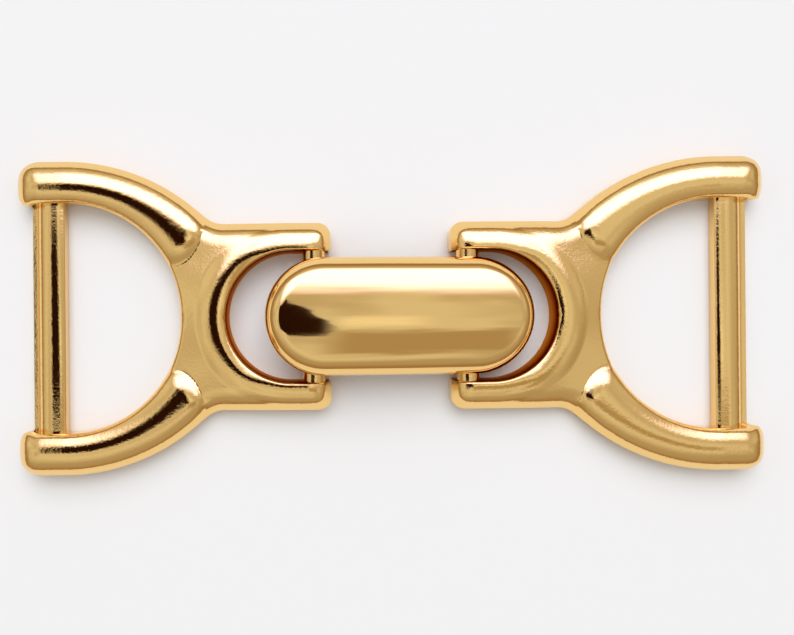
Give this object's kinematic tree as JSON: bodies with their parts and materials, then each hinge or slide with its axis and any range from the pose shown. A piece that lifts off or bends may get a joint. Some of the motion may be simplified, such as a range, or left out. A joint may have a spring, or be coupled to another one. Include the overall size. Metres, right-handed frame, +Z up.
{
  "type": "twist lock clasp",
  "caption": "Gold-plated clasp for a strap: like D-shaped frames with a strap bar and a forked yoke, joined by a domed stadium link hinged on one yoke's crossbar and hooked on the other's.",
  "frame": {"origin": "on the surface that the clasp lies on, under the middle of the clasp", "axes": "+X runs along the strap from the hinged end to the hooked end, +Y across the strap, +Z up out of the face"},
  "size_m": [0.0654, 0.0276, 0.0063],
  "materials": {
    "gold_plate": "polished gold plating"
  },
  "bodies": {
    "link": {"link_plate": "gold_plate"},
    "left": {"left_frame": "gold_plate"},
    "right": {"right_frame": "gold_plate"}
  },
  "joints": [
    {"name": "left_hinge", "type": "hinge", "parent": "link", "child": "left", "pos_m": [-0.0068, 0, 0.002], "axis": [0, 1, 0], "range_deg": [-90, 90]},
    {"name": "right_hinge", "type": "hinge", "parent": "link", "child": "right", "pos_m": [0.0068, 0, 0.002], "axis": [0, -1, 0], "range_deg": [-90, 90]}
  ]
}
